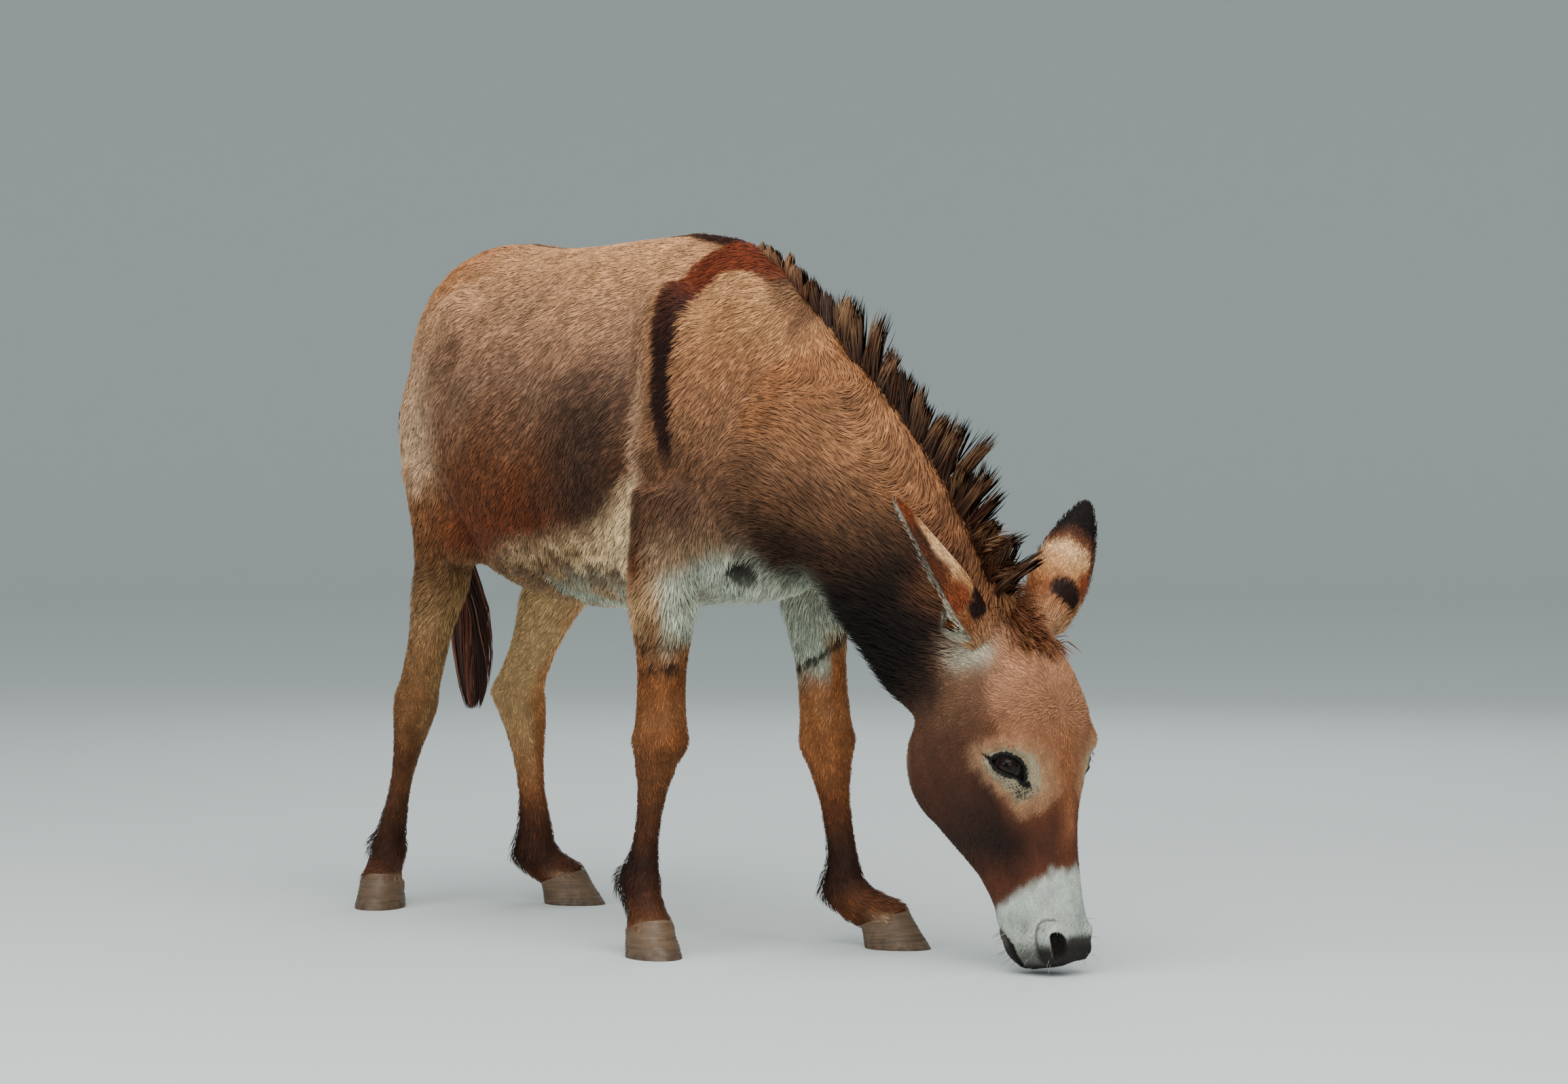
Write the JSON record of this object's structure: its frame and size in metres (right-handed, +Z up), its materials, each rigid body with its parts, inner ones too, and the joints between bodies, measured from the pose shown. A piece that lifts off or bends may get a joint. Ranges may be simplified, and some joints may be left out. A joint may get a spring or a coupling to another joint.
{
  "type": "donkey",
  "caption": "Life-size standing donkey, head lowered to graze and turned to its left, with upright mane, spread ears, tufted tail and flat hooves",
  "frame": {"origin": "on the ground plane that all four hooves stand on, under the middle of the whole model's bounding box", "axes": "+Z is up; the donkey faces -Y, so its rump is towards +Y; +X is the donkey's left side, towards which its neck and head are bent"},
  "size_m": [0.6846, 1.6056, 1.125],
  "materials": {
    "head": "short brown coat",
    "muzzle": "near-white short coat with dark lips and nostrils",
    "neck": "short tan coat",
    "forequarters": "short tan coat",
    "barrel": "short tan coat",
    "hindquarters": "short tan coat",
    "tail_dock": "short brown coat",
    "tail_switch": "coarse dark hair",
    "mane": "coarse dark hair",
    "ear_right": "short tan coat",
    "ear_left": "short tan coat",
    "eye_right": "wet and glossy, nearly black brown",
    "eye_left": "wet and glossy, nearly black brown",
    "forearm_front_right": "short brown coat",
    "cannon_front_right": "short brown coat",
    "pastern_front_right": "short brown coat",
    "hoof_front_right": "dry ringed horn",
    "forearm_front_left": "short brown coat",
    "cannon_front_left": "short brown coat",
    "pastern_front_left": "short brown coat",
    "hoof_front_left": "dry ringed horn",
    "gaskin_rear_right": "short brown coat",
    "cannon_rear_right": "short brown coat",
    "pastern_rear_right": "short brown coat",
    "hoof_rear_right": "dry ringed horn",
    "gaskin_rear_left": "short brown coat",
    "cannon_rear_left": "short brown coat",
    "pastern_rear_left": "short brown coat",
    "hoof_rear_left": "dry ringed horn"
  },
  "bodies": {
    "root": {"head": "head", "muzzle": "muzzle", "neck": "neck", "forequarters": "forequarters", "barrel": "barrel", "hindquarters": "hindquarters", "tail_dock": "tail_dock", "tail_switch": "tail_switch", "mane": "mane", "ear_right": "ear_right", "ear_left": "ear_left", "eye_right": "eye_right", "eye_left": "eye_left", "forearm_front_right": "forearm_front_right", "cannon_front_right": "cannon_front_right", "pastern_front_right": "pastern_front_right", "hoof_front_right": "hoof_front_right", "forearm_front_left": "forearm_front_left", "cannon_front_left": "cannon_front_left", "pastern_front_left": "pastern_front_left", "hoof_front_left": "hoof_front_left", "gaskin_rear_right": "gaskin_rear_right", "cannon_rear_right": "cannon_rear_right", "pastern_rear_right": "pastern_rear_right", "hoof_rear_right": "hoof_rear_right", "gaskin_rear_left": "gaskin_rear_left", "cannon_rear_left": "cannon_rear_left", "pastern_rear_left": "pastern_rear_left", "hoof_rear_left": "hoof_rear_left"}
  },
  "joints": []
}
